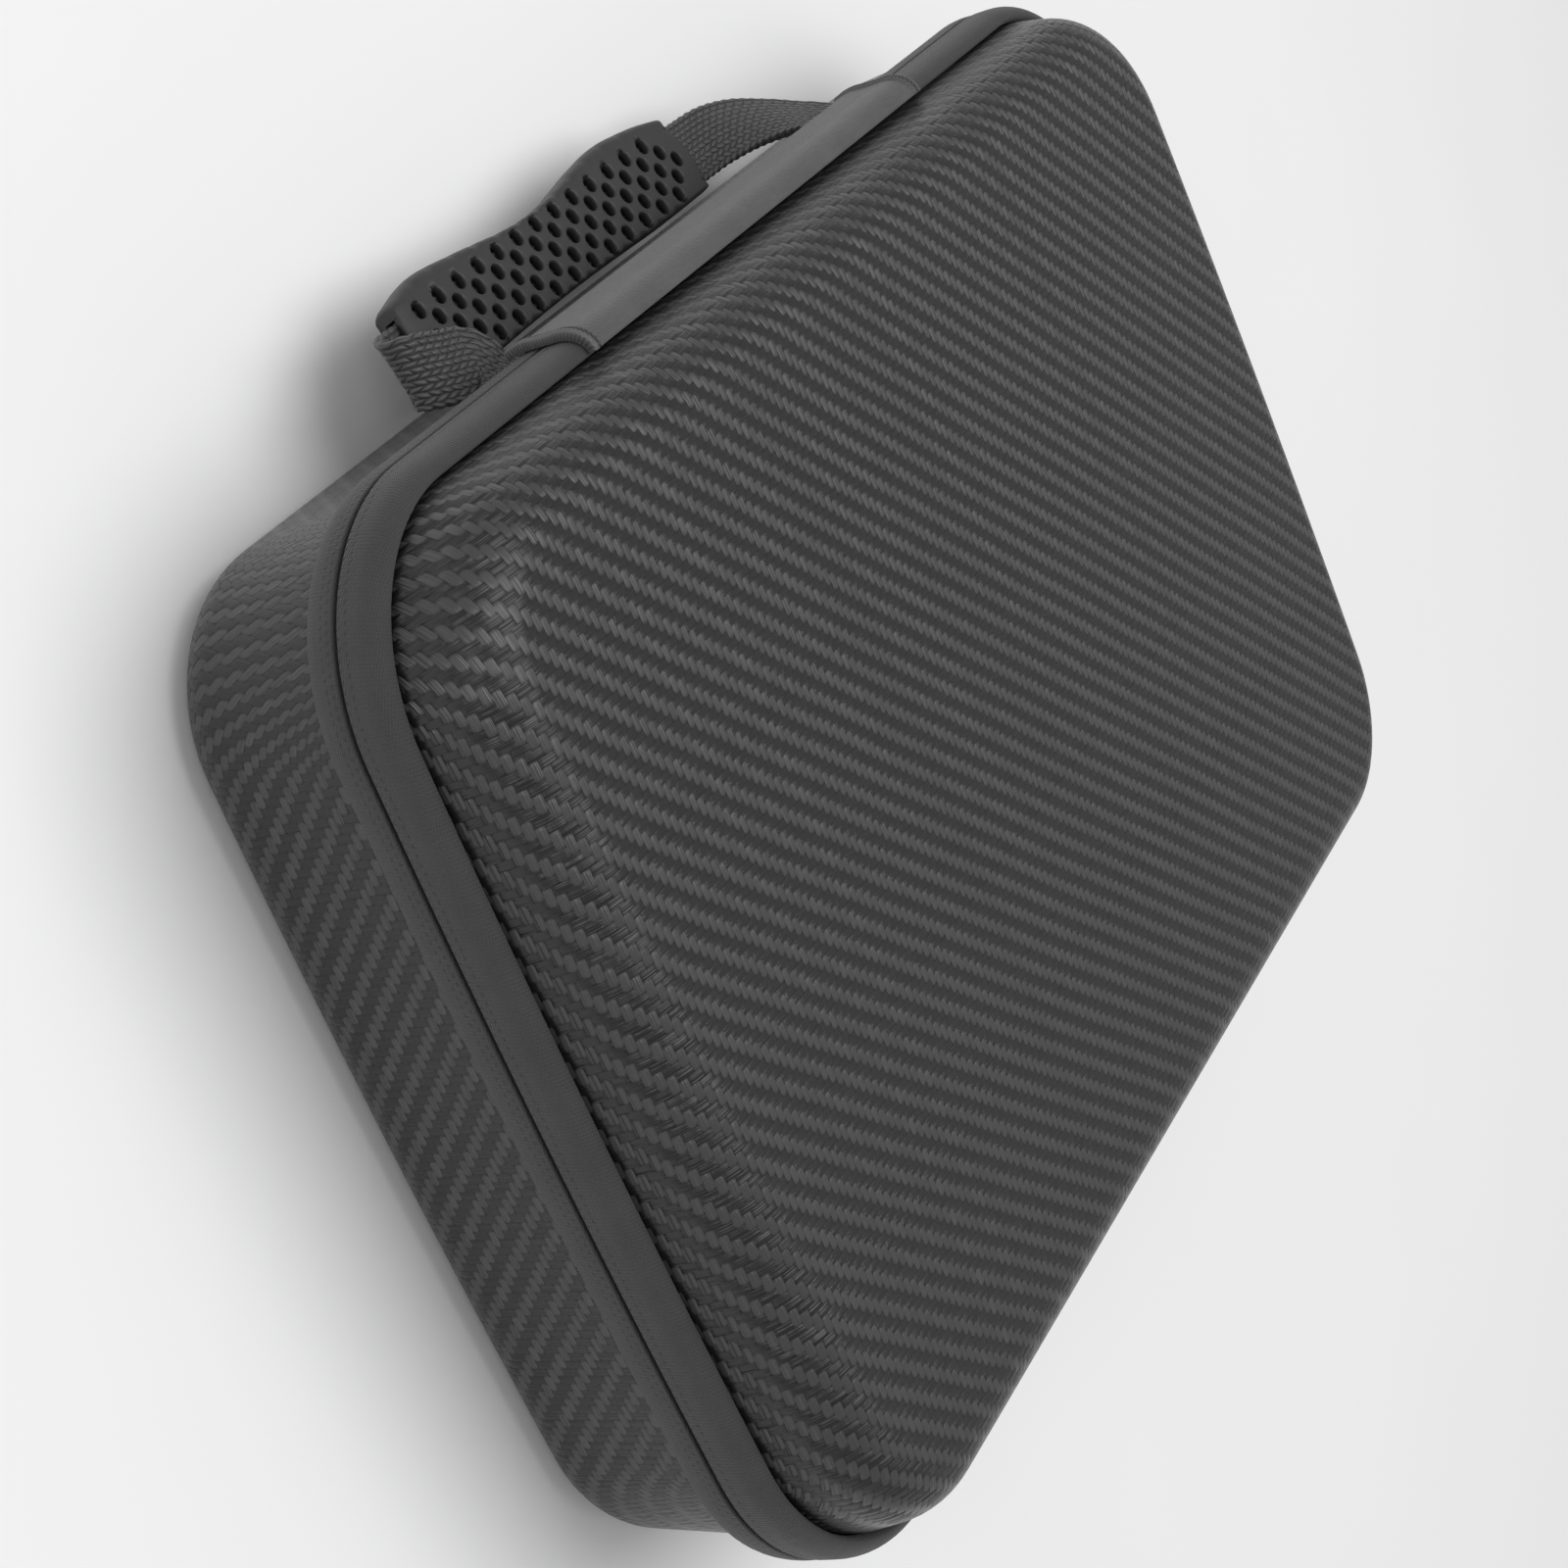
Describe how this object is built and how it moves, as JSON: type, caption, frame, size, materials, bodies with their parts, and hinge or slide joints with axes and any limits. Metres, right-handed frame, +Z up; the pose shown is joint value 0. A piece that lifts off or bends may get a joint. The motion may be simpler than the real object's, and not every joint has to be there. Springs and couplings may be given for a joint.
{
  "type": "camera case",
  "caption": "Zip-around hard-shell camera case with carbon-look shells, a rolled fabric zip band and a webbing side handle with a perforated rubber grip",
  "frame": {"origin": "middle of the flat back face, which rests on the floor", "axes": "+X along the handle side, +Y out of the handle side, +Z up out of the front face"},
  "size_m": [0.288, 0.21, 0.0631],
  "materials": {
    "shell_skin": "semi-gloss coated twill",
    "band_fabric": "fine matte weave",
    "zip_plastic": "matte",
    "hinge_fabric": "matte weave",
    "webbing": "coarse woven",
    "grip_rubber": "matte",
    "slider_metal": "satin black"
  },
  "bodies": {
    "root": {"front_shell": "shell_skin", "back_shell": "shell_skin", "zip_band_front": "band_fabric", "zip_band_rear": "band_fabric", "zip_coil": "zip_plastic", "hinge_strip": "hinge_fabric", "handle_strap": "webbing", "grip": "grip_rubber", "zip_slider": "slider_metal"}
  },
  "joints": []
}
